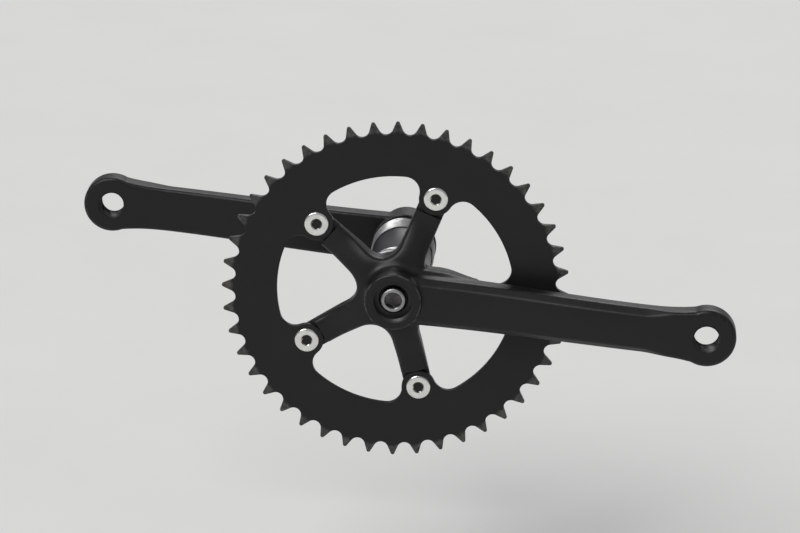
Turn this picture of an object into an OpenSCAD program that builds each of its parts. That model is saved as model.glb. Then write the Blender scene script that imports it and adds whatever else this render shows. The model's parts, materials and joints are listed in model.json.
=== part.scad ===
// Single-speed bicycle crankset on a square-taper cartridge bottom bracket.
// X points forward, Z up, and the spindle lies along Y with the chainring side at -Y.
// The origin is the centre of the frame's bottom-bracket shell, on the spindle axis.

/* [Crank arms] */
// Spindle axis to pedal axis
arm_len = 165; // [155:2.5:180]
// Angle of the right crank arm below the forward direction, in degrees
arm_drop = 5; // [-90:0.1:90]
// Half the arm's height beside the boss
arm_root_hw = 13; // [11:0.1:15]
// Half the arm's height at its slimmest point
arm_waist_hw = 12.1; // [9:0.1:14]
// Distance from the spindle axis to the arm's slimmest point
arm_waist_x = 128; // [110:1:135]
// Radius of the rounded end around the pedal hole
eye_r = 15.5; // [14:0.5:18]
// Thickness of the rounded end
eye_t = 12.5; // [11:0.5:15]
// Distance across the outer faces of both pedal eyes
q_factor = 146; // [144:1:156]
// Radius of the boss around the spindle hole
boss_r = 15.5; // [15:0.5:18]
// Distance from the centre plane to the boss's outer face
boss_face_y = 65; // [63:0.5:66]
// Distance from the centre plane to the boss's inner face
boss_back_y = 39.5; // [38.5:0.5:41]
// Radius of the pedal thread, 9/16 inch
pedal_r = 7.14; // [6.5:0.01:7.5]
// Radius of the extractor thread, M22
extractor_r = 11; // [10.5:0.1:11.5]

/* [Spider] */
// Diameter of the chainring bolts' circle
bcd = 110; // [104:1:130]
// Number of spokes and chainring bolts
spoke_count = 5; // [4:1:6]
// Half the width of a spoke beside its bolt
spoke_tip_hw = 7.25; // [7:0.25:9]
// Half the width of a spoke at the hub
spoke_root_hw = 7.4; // [7:0.1:11]
// Radius of the hollow where two spokes meet
spoke_fillet_r = 15; // [5:0.5:16]
// Distance from the centre plane to the back of the spokes
spider_back_y = 37.5; // [37.2:0.1:38.5]
// Thickness of the tabs that the chainring is bolted to
tab_t = 3.5; // [3:0.1:4]

/* [Chainring] */
// Number of teeth
teeth = 44; // [40:1:52]
// Chain pitch, half an inch
pitch = 12.7; // [12.7]
// Radius of the seat that a chain roller rests in
roller_seat_r = 3.95; // [3.9:0.01:4.1]
// Height of the tooth tips above the pitch circle
tooth_tip_h = 3.2; // [2.8:0.1:3.4]
// Thickness of the chainring
ring_t = 3; // [2:0.1:3.2]
// Inner radius of the chainring between its tabs
ring_inner_r = 62.8; // [61:0.1:66]
// Radius of the chainring's tabs around the bolt holes
ring_tab_r = 9; // [7:0.1:10]
// Radius of the corners between tabs and inner edge
ring_fillet_r = 8; // [3:0.5:9]

/* [Fasteners] */
// Radius of the heads of the chainring bolts and sleeve nuts
ring_bolt_head_r = 6.5; // [6.2:0.1:6.5]
// Thickness of those heads
ring_bolt_head_t = 1.4; // [1:0.1:1.8]
// Depth of the counterbore that each chainring bolt head sits in
ring_counterbore = 0.7; // [0.4:0.1:1]
// Radius of the chainring sleeve nut's barrel
sleeve_nut_r = 4.98; // [4.9:0.01:5]
// Width across flats of the chainring bolt's hex socket
ring_bolt_hex = 5; // [5:0.5:6]
// Radius of the crank bolt's head
crank_bolt_head_r = 6.6; // [6.5:0.1:7]
// Height of the crank bolt's head
crank_bolt_head_h = 5.5; // [5.5:0.5:7.5]
// Width across flats of the crank bolt's hex socket
crank_bolt_hex = 8; // [6:0.5:8]
// Nominal thread radius of the crank bolts and the chainring bolts, M8
m8_r = 4; // [4]

/* [Spindle] */
// Length of the spindle
spindle_len = 107; // [105:1:109]
// Radius of the bearing seats
spindle_r = 8.5; // [8.5]
// Radius of the shoulder between the bearings
shoulder_r = 9.25; // [9:0.05:9.5]
// Width across the taper's flats at the spindle's end
taper_flat = 12.6; // [12.5:0.05:12.7]
// Slope of each flat, in degrees
taper_angle = 2; // [2]
// Radius of the rounded corners of the taper
taper_corner_r = 8.2; // [8:0.1:8.4]

/* [Bottom bracket] */
// Width of the frame's bottom-bracket shell
shell_w = 68; // [68:1:73]
// Radius of the cup threads, 1.37 inch by 24 per inch
cup_thread_r = 17.4; // [17.4]
// Length of each cup's threaded sleeve
cup_len = 14; // [12:1:16]
// Radius of the right cup's flange
flange_r = 20.5; // [19:0.5:21]
// Thickness of the right cup's flange
flange_t = 3; // [2:0.5:3]
// Number of splines for the fitting tool in each cup
spline_count = 20; // [20]
// Outer radius of the cartridge's steel tube
cartridge_r = 16.2; // [16:0.1:16.4]
// Half the length of the cartridge's steel tube
cartridge_half = 30.5; // [30:0.5:31]

/* [Bearings] */
// Distance from the centre plane to the middle of each bearing
bearing_y = 26; // [24:0.5:26.5]
// Width of each bearing
bearing_w = 7; // [7]
// Outer radius of each bearing
bearing_or = 15; // [15]
// Radius of each ball, 5/32 inch
ball_r = 1.984; // [1.984]
// Number of balls in each bearing
ball_count = 11; // [9:1:12]
// Radius of the circle that the balls' centres lie on
ball_circle_r = 11.75; // [11.75]

/* [Hidden] */
$fn = 64;

// Running and assembly gaps
slip = 0.02;          // between parts that stay together
thread_gap = 0.05;    // between a bolt and its hole
race_gap = 0.08;      // between a ball and its groove
seal_gap = 0.1;       // between a seal's lip and the inner race
cut = 1;              // how far a cutting tool runs past a face
wide = 60;            // size of a block that is wider than any section it trims

// Chainring and spider levels, measured outward from the centre plane
ring_back_y = spider_back_y + tab_t;
ring_front_y = ring_back_y + ring_t;
bolt_circle_r = bcd / 2;
spoke_step = 360 / spoke_count;
shoulder_seat_r = bolt_circle_r - ring_tab_r - 0.1;  // step that centres the chainring
spoke_root_r = 25;    // where a spoke reaches its root width
spoke_tip_r = 50;     // where a spoke reaches its tip width
spider_crown_y = 51;  // front of the spider beside the boss
hub_r = 22;           // radius of the hub behind the boss
hub_slope = 12;       // length of the slope from the hub down to the spokes, at the back
crown_slope = 16;     // the same at the front
spoke_step_h = 0.4;   // how far the spokes stand proud of the chainring beside the step
spoke_rise = 1.2;     // how much more they stand proud where the slope begins

// Boss: a skirt at the back and a chamfer at the face
boss_skirt = 2.5;
boss_skirt_h = 12;
boss_chamfer = 1;

// Arm seen from above: [distance along it, level measured from the boss's face]
arm_inner_face = [[0, -16], [24, -16.5], [50, -14.5], [90, -11]];
arm_outer_face = [[0, -0.7], [24, -0.7], [50, 0.6], [90, 3.6]];

// Chainring teeth
pitch_r = pitch / 2 / sin(180 / teeth);
root_r = pitch_r - roller_seat_r;
tip_r = pitch_r + tooth_tip_h;
tooth_step = 360 / teeth;
seat_half_angle = 64; // arc of a roller seat on each side of its deepest point

// Spindle and its bolts
spindle_half = spindle_len / 2;
washer_t = 1.5;
washer_gap = 0.3;
ring_bolt_socket = 2.8;
nut_slot_w = 2.5;
nut_slot_depth = 0.8;
washer_r = 7.5;
recess_floor_y = spindle_half + 1.5;
bolt_seat_y = recess_floor_y + washer_t;
crank_bolt_shank = 19;
socket_depth = 4.5;
tapped_depth = 23;
socket_chamfer = 0.6;

// Cup sockets for the fitting tool
spline_tip_r = 15.4;
spline_root_r = 16.4;
spline_w = 2.4;
cup_seat_y = cartridge_half + 0.2;
cup_lip = 1.2;        // wall between the cartridge's seat and the splines

// Bearing sections
inner_race_r = 10.45;
outer_race_bore_r = 13.05;
groove_r = ball_r + race_gap;
seal_t = 0.6;
seal_offset = bearing_w / 2 - 0.1;
cage_half_w = 2.4;
cage_inner_r = 11.1;
cage_outer_r = 12.4;
pocket_r = ball_r + 0.07;

// ---------- Helpers ----------

// Turns a shape drawn around Z so that it points along Y away from the centre: side -1 right, 1 left
module outward(side) {
    rotate([side < 0 ? 90 : -90, 0, 0]) children();
}

// Cylinder along the spindle from y0 to y1, both measured outward on the given side
module along(side, r, y0, y1) {
    outward(side) translate([0, 0, y0]) cylinder(r = r, h = y1 - y0);
}

// Flat plate from an outline in the X-Z plane, between two distances on the right side
module plate(y0, y1) {
    rotate([90, 0, 0]) translate([0, 0, y0]) linear_extrude(y1 - y0) children();
}

// Ring along the spindle
module tube(side, r_out, r_in, y0, y1) {
    difference() {
        along(side, r_out, y0, y1);
        along(side, r_in, y0 - cut, y1 + cut);
    }
}

// Six-sided socket cut from the face at y1 down to y0
module hex_socket(side, flats, y0, y1) {
    outward(side) translate([0, 0, y0]) cylinder(d = flats / cos(30), h = y1 - y0 + cut, $fn = 6);
}

// Copies a shape onto each bolt of the chainring, starting behind the right arm
module at_ring_bolts() {
    for (i = [0 : spoke_count - 1])
        rotate([0, arm_drop - i * spoke_step, 0]) translate([bolt_circle_r, 0, 0]) children();
}

function polar(r, a) = [r * cos(a), r * sin(a)];
function arc(c, r, a0, a1, n) = [for (i = [0 : n]) c + polar(r, a0 + (a1 - a0) * i / n)];
function spin(points, a) = [for (p = points)
    [p[0] * cos(a) - p[1] * sin(a), p[0] * sin(a) + p[1] * cos(a)]];

// ---------- Spindle ----------

// Square that widens towards the centre plane; grow moves each flat outward
module taper_square(side, y0, y1, grow) {
    intersection() {
        along(side, taper_corner_r + grow, y0, y1);
        outward(side) intersection_for (a = [0 : 90 : 270])
            rotate([0, 0, a]) translate([taper_flat / 2 + grow, 0, spindle_half])
                rotate([0, -taper_angle, 0]) translate([-wide, -wide / 2, -wide])
                    cube([wide, wide, 2 * wide]);
    }
}

module spindle() {
    color([0.62, 0.63, 0.64]) rotate([0, arm_drop, 0]) difference() {
        union() {
            along(-1, spindle_r, -boss_back_y + 3, boss_back_y - 3);
            along(-1, shoulder_r, -bearing_y + bearing_w / 2, bearing_y - bearing_w / 2);
            for (side = [-1, 1]) taper_square(side, boss_back_y - 3, spindle_half, 0);
        }
        for (side = [-1, 1]) along(side, m8_r + thread_gap, spindle_half - tapped_depth, spindle_half + cut);
    }
}

// ---------- Crank arms ----------

// Half the arm's height at a distance x from the spindle axis
function arm_hw(x) = x < arm_waist_x
    ? arm_waist_hw + (arm_root_hw - arm_waist_hw) * (1 + cos(180 * x / arm_waist_x)) / 2
    : arm_waist_hw + (eye_r - arm_waist_hw) * pow((x - arm_waist_x) / (arm_len - arm_waist_x), 3);

// Outline of the arm seen along the spindle
module arm_front() {
    stations = [for (i = [0 : 16]) arm_len * i / 16];
    polygon(concat(
        [for (x = stations) [x, -arm_hw(x)]],
        arc([arm_len, 0], eye_r, -80, 80, 16),
        [for (i = [16 : -1 : 0]) [stations[i], arm_hw(stations[i])]]
    ));
}

// Outline of the arm seen from above: x along the arm, y outward from the centre plane
module arm_side() {
    eye_face_y = q_factor / 2;
    eye_back_y = eye_face_y - eye_t;
    polygon(concat(
        [for (p = arm_inner_face) p + [0, boss_face_y]],
        [[arm_len - eye_r, eye_back_y], [arm_len + eye_r + cut, eye_back_y]],
        [[arm_len + eye_r + cut, eye_face_y], [arm_len - eye_r, eye_face_y]],
        [for (i = [len(arm_outer_face) - 1 : -1 : 0]) arm_outer_face[i] + [0, boss_face_y]]
    ));
}

// Arm with its boss, before any hole is cut, on the right side pointing forward
module arm_blank() {
    intersection() {
        plate(boss_back_y, q_factor / 2 + cut) arm_front();
        mirror([0, 1, 0]) translate([0, 0, -wide / 2]) linear_extrude(wide) arm_side();
    }
    rotate([90, 0, 0]) rotate_extrude() polygon([
        [0, boss_back_y], [boss_r + boss_skirt - boss_chamfer, boss_back_y],
        [boss_r + boss_skirt, boss_back_y + boss_chamfer], [boss_r, boss_back_y + boss_skirt_h],
        [boss_r, boss_face_y - boss_chamfer], [boss_r - boss_chamfer, boss_face_y], [0, boss_face_y]
    ]);
}

// Spoke behind the right arm, as wide as the arm itself
module arm_web() {
    intersection() {
        plate(boss_back_y, spider_crown_y) arm_front();
        along(-1, shoulder_seat_r - cut, boss_back_y, spider_crown_y);
    }
}

// Every hole of an arm: taper, extractor recess and pedal thread
module arm_holes() {
    taper_square(-1, boss_back_y - cut, recess_floor_y + cut, slip);
    along(-1, washer_r + washer_gap, recess_floor_y, boss_face_y + cut);
    along(-1, extractor_r, bolt_seat_y + 2, boss_face_y + cut);
    translate([arm_len, 0, 0]) along(-1, pedal_r, q_factor / 2 - eye_t - cut, q_factor / 2 + cut);
}

// Outline of the spider: five spokes with round tips, joined by round hollows
module spider_outline() {
    slope = (spoke_tip_hw - spoke_root_hw) / (spoke_tip_r - spoke_root_r);
    lean = atan(slope);
    half = spoke_step / 2;
    // Distance from the axis to the centre of the hollow between two spokes
    hollow_c = (spoke_fillet_r / cos(lean) + spoke_root_hw - slope * spoke_root_r) / (sin(half) - slope * cos(half));
    hollow = arc(polar(hollow_c, half), spoke_fillet_r, 270 + lean, 270 + lean - (180 - spoke_step) - 2 * lean, 10);
    tip = arc([bolt_circle_r, 0], spoke_tip_hw, -90 - lean, 90 + lean, 18);
    polygon([for (i = [0 : spoke_count - 1]) each spin(concat(tip, hollow), i * spoke_step)]);
}

// Thickness of the spider against radius: thick at the hub, stepped down for the chainring
module spider_section() {
    rotate([90, 0, 0]) rotate_extrude() polygon([
        [0, boss_back_y], [hub_r, boss_back_y], [hub_r + hub_slope, spider_back_y],
        [tip_r, spider_back_y], [tip_r, ring_back_y], [shoulder_seat_r, ring_back_y],
        [shoulder_seat_r, ring_front_y + spoke_step_h],
        [hub_r + crown_slope, ring_front_y + spoke_step_h + spoke_rise],
        [hub_r, spider_crown_y - spoke_rise], [boss_r, spider_crown_y], [0, spider_crown_y]
    ]);
}

module right_crank_arm() {
    color([0.11, 0.11, 0.105]) rotate([0, arm_drop, 0]) difference() {
        union() {
            arm_blank();
            arm_web();
            intersection() {
                plate(spider_back_y, spider_crown_y + cut) spider_outline();
                spider_section();
            }
        }
        arm_holes();
        for (i = [0 : spoke_count - 1]) rotate([0, i * spoke_step, 0]) translate([bolt_circle_r, 0, 0])
            along(-1, sleeve_nut_r + thread_gap, spider_back_y - cut, ring_back_y + cut);
    }
}

module left_crank_arm() {
    color([0.11, 0.11, 0.105]) rotate([0, arm_drop + 180, 0]) mirror([0, 1, 0]) difference() {
        arm_blank();
        arm_holes();
    }
}

// ---------- Chainring ----------

// Roller seat and the flank beside it, around the seat at angle a
function seat_points(a) =
    let (seat = arc([pitch_r, 0], roller_seat_r, 180 + seat_half_angle, 180 - seat_half_angle, 6),
         rise = tip_r - pitch_r + roller_seat_r * cos(seat_half_angle),
         side = roller_seat_r * sin(seat_half_angle) + rise / tan(seat_half_angle))
    spin(concat([[tip_r, -side]], seat, [[tip_r, side]]), a);

module ring_outline() {
    polygon([for (i = [0 : teeth - 1]) each seat_points(i * tooth_step)]);
}

// Opening of the chainring, with a tab reaching in to each bolt
module ring_opening() {
    // Angle at the axis between a bolt and the centre of its corner fillet
    reach = ring_inner_r - ring_fillet_r;
    span = ring_tab_r + ring_fillet_r;
    a = acos((pow(bolt_circle_r, 2) + pow(reach, 2) - pow(span, 2)) / (2 * bolt_circle_r * reach));
    // Direction from the bolt to that centre
    d = 180 - acos((pow(bolt_circle_r, 2) + pow(span, 2) - pow(reach, 2)) / (2 * bolt_circle_r * span));
    tab = arc([bolt_circle_r, 0], ring_tab_r, -d, -360 + d, 16);
    corner = arc(polar(reach, a), ring_fillet_r, d + 180, a + 360, 8);
    edge = arc([0, 0], ring_inner_r, a + 3, spoke_step - a - 3, 8);
    corner_2 = [for (i = [len(corner) - 1 : -1 : 0]) spin([[corner[i][0], -corner[i][1]]], spoke_step)[0]];
    polygon([for (i = [0 : spoke_count - 1]) each spin(concat(tab, corner, edge, corner_2), i * spoke_step)]);
}

module chainring() {
    color([0.12, 0.12, 0.115]) difference() {
        rotate([0, arm_drop, 0]) plate(ring_back_y, ring_front_y) difference() {
            ring_outline();
            ring_opening();
        }
        at_ring_bolts() {
            along(-1, sleeve_nut_r + thread_gap, ring_back_y - cut, ring_front_y + cut);
            along(-1, ring_bolt_head_r + 0.1, ring_front_y - ring_counterbore, ring_front_y + cut);
        }
    }
}

// ---------- Fasteners ----------

module chainring_bolts() {
    head_y = ring_front_y - ring_counterbore;
    color([0.83, 0.83, 0.82]) at_ring_bolts() difference() {
        union() {
            along(-1, ring_bolt_head_r, head_y, head_y + ring_bolt_head_t);
            along(-1, m8_r, spider_back_y, head_y);
        }
        hex_socket(-1, ring_bolt_hex, head_y - ring_bolt_socket, head_y + ring_bolt_head_t);
    }
}

module chainring_sleeve_nuts() {
    color([0.83, 0.83, 0.82]) at_ring_bolts() difference() {
        union() {
            along(-1, ring_bolt_head_r, spider_back_y - ring_bolt_head_t, spider_back_y);
            along(-1, sleeve_nut_r, spider_back_y, ring_front_y - ring_counterbore - washer_gap);
        }
        along(-1, m8_r + thread_gap, spider_back_y - ring_bolt_head_t - cut, ring_front_y);
        translate([-wide / 2, -spider_back_y + ring_bolt_head_t - nut_slot_depth, -nut_slot_w / 2])
            cube([wide, ring_bolt_head_t, nut_slot_w]);
    }
}

module crank_bolt(side) {
    color([0.66, 0.66, 0.65]) difference() {
        union() {
            along(side, crank_bolt_head_r, bolt_seat_y, bolt_seat_y + crank_bolt_head_h);
            along(side, m8_r, bolt_seat_y - crank_bolt_shank - washer_t, bolt_seat_y);
        }
        hex_socket(side, crank_bolt_hex, bolt_seat_y + crank_bolt_head_h - socket_depth,
            bolt_seat_y + crank_bolt_head_h);
        outward(side) translate([0, 0, bolt_seat_y + crank_bolt_head_h - socket_chamfer])
            cylinder(r1 = crank_bolt_hex / 2, r2 = crank_bolt_hex / 2 + 2 * socket_chamfer, h = 2 * socket_chamfer);
    }
}

module right_crank_bolt() { crank_bolt(-1); }
module left_crank_bolt() { crank_bolt(1); }

module crank_washer(side) {
    color([0.7, 0.7, 0.68]) tube(side, washer_r, m8_r + washer_gap, recess_floor_y, bolt_seat_y);
}

module right_crank_washer() { crank_washer(-1); }
module left_crank_washer() { crank_washer(1); }

// ---------- Bottom bracket ----------

module cartridge_tube() {
    color([0.3, 0.3, 0.31]) tube(-1, cartridge_r, bearing_or + slip, -cartridge_half, cartridge_half);
}

// Threaded cup that holds one end of the cartridge, with splines in its mouth
module cup(side, mouth_y) {
    difference() {
        along(side, cup_thread_r, shell_w / 2 - cup_len, mouth_y);
        along(side, cartridge_r + slip, shell_w / 2 - cup_len - cut, cup_seat_y);
        along(side, spline_tip_r, cup_seat_y - cut, mouth_y + cut);
        outward(side) for (i = [0 : spline_count - 1]) rotate([0, 0, i * 360 / spline_count])
            translate([0, -spline_w / 2, cup_seat_y + cup_lip]) cube([spline_root_r, spline_w, mouth_y]);
    }
}

module right_cup() {
    mouth_y = shell_w / 2 + flange_t;
    color([0.45, 0.45, 0.45]) {
        cup(-1, mouth_y);
        tube(-1, flange_r, cup_thread_r - 0.4, shell_w / 2, mouth_y);
    }
}

module left_cup() {
    color([0.45, 0.45, 0.45]) cup(1, shell_w / 2);
}

// ---------- Bearings ----------

// Ring around the spindle with a ball groove, from r_in to r_out
module race(side, r_in, r_out) {
    outward(side) translate([0, 0, bearing_y]) rotate_extrude() difference() {
        translate([r_in, -bearing_w / 2]) square([r_out - r_in, bearing_w]);
        translate([ball_circle_r, 0]) circle(r = groove_r);
    }
}

module right_inner_race() { color([0.75, 0.75, 0.77]) race(-1, spindle_r + slip, inner_race_r); }
module left_inner_race() { color([0.75, 0.75, 0.77]) race(1, spindle_r + slip, inner_race_r); }
module right_outer_race() { color([0.7, 0.7, 0.72]) race(-1, outer_race_bore_r, bearing_or); }
module left_outer_race() { color([0.7, 0.7, 0.72]) race(1, outer_race_bore_r, bearing_or); }

// Places a shape at each ball of one bearing
module at_balls(side) {
    outward(side) translate([0, 0, bearing_y]) for (i = [0 : ball_count - 1])
        rotate([0, 0, i * 360 / ball_count]) translate([ball_circle_r, 0, 0]) children();
}

module right_bearing_balls() { color([0.85, 0.85, 0.87]) at_balls(-1) sphere(r = ball_r); }
module left_bearing_balls() { color([0.85, 0.85, 0.87]) at_balls(1) sphere(r = ball_r); }

module ball_cage(side) {
    color([0.55, 0.42, 0.2]) difference() {
        tube(side, cage_outer_r, cage_inner_r, bearing_y - cage_half_w, bearing_y + cage_half_w);
        at_balls(side) rotate([0, 90, 0]) cylinder(r = pocket_r, h = 2 * ball_r, center = true);
    }
}

module right_ball_cage() { ball_cage(-1); }
module left_ball_cage() { ball_cage(1); }

module bearing_seals(side) {
    color([0.08, 0.08, 0.08]) for (y = [bearing_y - seal_offset, bearing_y + seal_offset - seal_t])
        tube(side, outer_race_bore_r - slip, inner_race_r + seal_gap, y, y + seal_t);
}

module right_bearing_seals() { bearing_seals(-1); }
module left_bearing_seals() { bearing_seals(1); }

right_crank_arm();
left_crank_arm();
chainring();
chainring_bolts();
chainring_sleeve_nuts();
right_crank_bolt();
left_crank_bolt();
right_crank_washer();
left_crank_washer();
spindle();
cartridge_tube();
right_cup();
left_cup();
right_inner_race();
left_inner_race();
right_outer_race();
left_outer_race();
right_bearing_balls();
left_bearing_balls();
right_ball_cage();
left_ball_cage();
right_bearing_seals();
left_bearing_seals();
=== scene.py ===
import json
import math

import bpy
import numpy as np
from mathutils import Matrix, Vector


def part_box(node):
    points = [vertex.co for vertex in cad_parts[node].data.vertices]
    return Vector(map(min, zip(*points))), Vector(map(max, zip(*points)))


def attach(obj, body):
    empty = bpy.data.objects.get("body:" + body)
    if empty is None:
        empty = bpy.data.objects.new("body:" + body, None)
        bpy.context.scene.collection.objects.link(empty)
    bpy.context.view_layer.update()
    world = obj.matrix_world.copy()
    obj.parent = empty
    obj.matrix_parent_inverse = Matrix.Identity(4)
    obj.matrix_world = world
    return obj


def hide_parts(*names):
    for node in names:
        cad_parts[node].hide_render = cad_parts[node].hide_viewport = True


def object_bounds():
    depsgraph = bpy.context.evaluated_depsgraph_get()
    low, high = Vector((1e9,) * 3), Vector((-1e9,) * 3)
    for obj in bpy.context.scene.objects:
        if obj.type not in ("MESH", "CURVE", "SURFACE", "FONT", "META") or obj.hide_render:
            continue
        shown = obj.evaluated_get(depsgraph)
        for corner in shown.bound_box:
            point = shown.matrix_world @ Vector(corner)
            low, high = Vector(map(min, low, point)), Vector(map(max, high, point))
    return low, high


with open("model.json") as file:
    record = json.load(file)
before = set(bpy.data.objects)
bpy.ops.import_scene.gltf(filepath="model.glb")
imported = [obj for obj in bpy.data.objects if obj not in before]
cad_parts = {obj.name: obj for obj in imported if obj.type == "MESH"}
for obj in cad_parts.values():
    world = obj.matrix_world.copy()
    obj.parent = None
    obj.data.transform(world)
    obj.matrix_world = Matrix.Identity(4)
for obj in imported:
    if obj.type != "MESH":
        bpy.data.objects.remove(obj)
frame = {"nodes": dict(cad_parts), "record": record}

import openvdb
from mathutils import Matrix, Vector
from mathutils.geometry import tessellate_polygon

# Single-speed crankset: forged arms, chainring, fasteners and cartridge bottom bracket.
# Shapes are made in millimetres in an arm frame (u along the arm, v across it, w outward along
# the spindle) and placed in the row frame, in metres, by side_matrix().

CAD_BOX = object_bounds()
MM = 0.001
RIGHT, LEFT = -1, 1
CRANK, BRACKET = "crankset", "bottom_bracket"

# ---------------------------------------------------------------- sizes from the frame


def box_mm(node):
    """Lowest and highest corner of a CAD node, in millimetres."""
    return [np.array(corner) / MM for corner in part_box(node)]


def mount(name):
    """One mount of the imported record."""
    return next(m for m in frame["record"]["mounts"] if m["name"] == name)


PEDAL = mount("right_pedal_thread")
PEDAL_R, PEDAL_DEPTH = PEDAL["dims"]["r_mm"], PEDAL["dims"]["length_mm"]
ARM_LEN = math.hypot(PEDAL["pos_m"][0], PEDAL["pos_m"][2]) / MM
DROP = -math.atan2(PEDAL["pos_m"][2], PEDAL["pos_m"][0])
EYE_MID = -PEDAL["pos_m"][1] / MM
EYE_OUT, EYE_IN = EYE_MID + PEDAL_DEPTH / 2, EYE_MID - PEDAL_DEPTH / 2

TEETH = mount("chain_teeth")["dims"]["count"]
PITCH_R = mount("chain_teeth")["dims"]["pcd_mm"] / 2
RING_FRONT, RING_BACK = -box_mm("chainring")[0][1], -box_mm("chainring")[1][1]
SPIDER_BACK = -box_mm("right_crank_arm")[1][1]
WASHER_IN, WASHER_OUT = -box_mm("right_crank_washer")[1][1], -box_mm("right_crank_washer")[0][1]
BOLT_TOP = -box_mm("right_crank_bolt")[0][1]
CUP_R = mount("bottom_bracket_threads")["dims"]["r_mm"]
SHELL_HALF = mount("bottom_bracket_threads")["dims"]["length_mm"] / 2

# Crank arm and boss
ROOT_HALF = 13.0
WAIST_HALF, WAIST_U = 12.1, 128.0
EYE_R = 15.5
BOSS_R = 15.5
BOSS_FRONT, BOSS_BACK = 65.0, 39.5
ARM_FACE_ROOT = BOSS_FRONT - 2.0
ARM_BACK_ROOT = 48.5
TAPER_FLAT, TAPER_SLOPE, TAPER_END = 12.6, math.radians(2), WASHER_IN - 1.5
EXTRACTOR_R, EXTRACTOR_IN = 11.0, WASHER_OUT + 2.0

# Spider
SPOKES = 5
SPOKE_STEP = 2 * math.pi / SPOKES
BOLT_CIRCLE = 55.0
SPOKE_TIP_HALF, SPOKE_ROOT_HALF = 7.25, 7.4
SPOKE_TIP_U, SPOKE_ROOT_U = 50.0, 25.0
HOLLOW_R = 15.0
BOLT_HOLE_R = 5.03

# Chainring
ROLLER_R, SEAT_ANGLE = 3.95, math.radians(64)
TIP_R = PITCH_R + 3.2
RING_INNER_R, TAB_R, CORNER_R = 62.8, 9.0, 8.0
SEAT_R = BOLT_CIRCLE - TAB_R - 0.1

# Crank bolt and washer
THREAD_R = 3.95
CRANK_BOLT_R, CRANK_SOCKET_DEPTH, CRANK_HEX = 6.6, 4.5, 8.05
CRANK_SHANK = 19
WASHER_R, WASHER_HOLE_R = 7.5, 4.3

# Chainring bolts and sleeve nuts
BOLT_HEAD_R, BOLT_HEAD_SINK, BOLT_HEX = 6.5, 0.7, 5.06
NUT_BORE_R, NUT_BARREL_R, NUT_HEAD_T = 4.05, 4.98, 1.4
PEG_SLOT_HALF = 1.25

# Bottom bracket
CUP_LEN, CUP_SEAT, CUP_LIP, CUP_BORE_R = 14, 30.7, 1.2, 16.22
FLANGE_T, FLANGE_R = 3, 20.5
SPLINES, SPLINE_HALF, SPLINE_TIP_R, SPLINE_ROOT_R = 20, 1.2, 15.4, 16.4
TUBE_HALF, TUBE_R, TUBE_BORE_R = 30.5, 16.2, 15.02

# ---------------------------------------------------------------- mesh helpers


def side_matrix(side):
    """Arm frame of one side, in millimetres, to the row frame, in metres."""
    along = Vector((math.cos(DROP), 0, -math.sin(DROP))) * -side
    across = Vector((math.sin(DROP), 0, math.cos(DROP)))
    out = Vector((0, side, 0))
    m = Matrix((along, across, out)).transposed() * MM
    return m.to_4x4()


def mesh_from(name, points, faces):
    """A mesh from points and faces, wound as they are given."""
    mesh = bpy.data.meshes.new(name)
    mesh.from_pydata([tuple(map(float, p)) for p in points], [], [tuple(map(int, f)) for f in faces])
    mesh.update()
    return mesh


def signed_volume(points, faces):
    """Volume enclosed by the faces, negative when they face inward."""
    total = 0.0
    p = np.asarray(points, dtype=float)
    for size in {len(f) for f in faces}:
        ring = np.array([f for f in faces if len(f) == size])
        for k in range(1, size - 1):
            a, b, c = p[ring[:, 0]], p[ring[:, k]], p[ring[:, k + 1]]
            total += np.einsum("ij,ij->i", a, np.cross(b, c)).sum() / 6
    return total


def solid(name, points, faces):
    """Closed mesh of evenly wound faces, all of them reversed where they enclose a negative volume."""
    if signed_volume(points, faces) < 0:
        faces = [tuple(reversed(f)) for f in faces]
    return mesh_from(name, points, faces)


def carve(name, base, tools, operation="DIFFERENCE"):
    """base with each tool cut away, or joined on, as a new mesh.

    Blender skips every tool where the base is not evenly wound.
    """
    body = bpy.data.objects.new(name, base)
    bpy.context.scene.collection.objects.link(body)
    helpers = []
    for tool in tools:
        helper = bpy.data.objects.new("tool", tool)
        bpy.context.scene.collection.objects.link(helper)
        helpers.append(helper)
        cut = body.modifiers.new("cut", "BOOLEAN")
        cut.operation, cut.solver, cut.object = operation, "MANIFOLD", helper
    done = bpy.data.meshes.new_from_object(body.evaluated_get(bpy.context.evaluated_depsgraph_get()))
    for spare in (body, *helpers):
        data = spare.data
        bpy.data.objects.remove(spare)
        bpy.data.meshes.remove(data)
    return done


def lathe(profile, steps=96):
    """Solid of revolution about w from (radius, w) points: radius 0 at both ends, or a closed ring."""
    closed = profile[0][0] > 0
    points, rings, faces = [], [], []
    for r, w in profile:
        if r == 0:
            rings.append([len(points)] * steps)
            points.append((0, 0, w))
        else:
            rings.append(list(range(len(points), len(points) + steps)))
            angles = [2 * math.pi * i / steps for i in range(steps)]
            points += [(r * math.cos(a), r * math.sin(a), w) for a in angles]
    pairs = list(zip(rings, rings[1:] + rings[:1])) if closed else list(zip(rings, rings[1:]))
    for low, high in pairs:
        for i in range(steps):
            j = (i + 1) % steps
            corners = [low[i], low[j], high[j], high[i]]
            faces.append(tuple(dict.fromkeys(corners)))
    return solid("lathe", points, [f for f in faces if len(f) > 2])


def prism(outline, w0, w1):
    """Straight solid from a 2D outline."""
    n = len(outline)
    points = [(u, v, w0) for u, v in outline] + [(u, v, w1) for u, v in outline]
    faces = [tuple(range(n)), tuple(range(n, 2 * n))[::-1]]
    faces += [(i + n, (i + 1) % n + n, (i + 1) % n, i) for i in range(n)]
    return solid("prism", points, faces)


def move(mesh, u=0.0, v=0.0, w=0.0, turn=0.0):
    """mesh turned about w and then shifted."""
    mesh.transform(Matrix.Translation((u, v, w)) @ Matrix.Rotation(turn, 4, "Z"))
    return mesh


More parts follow.
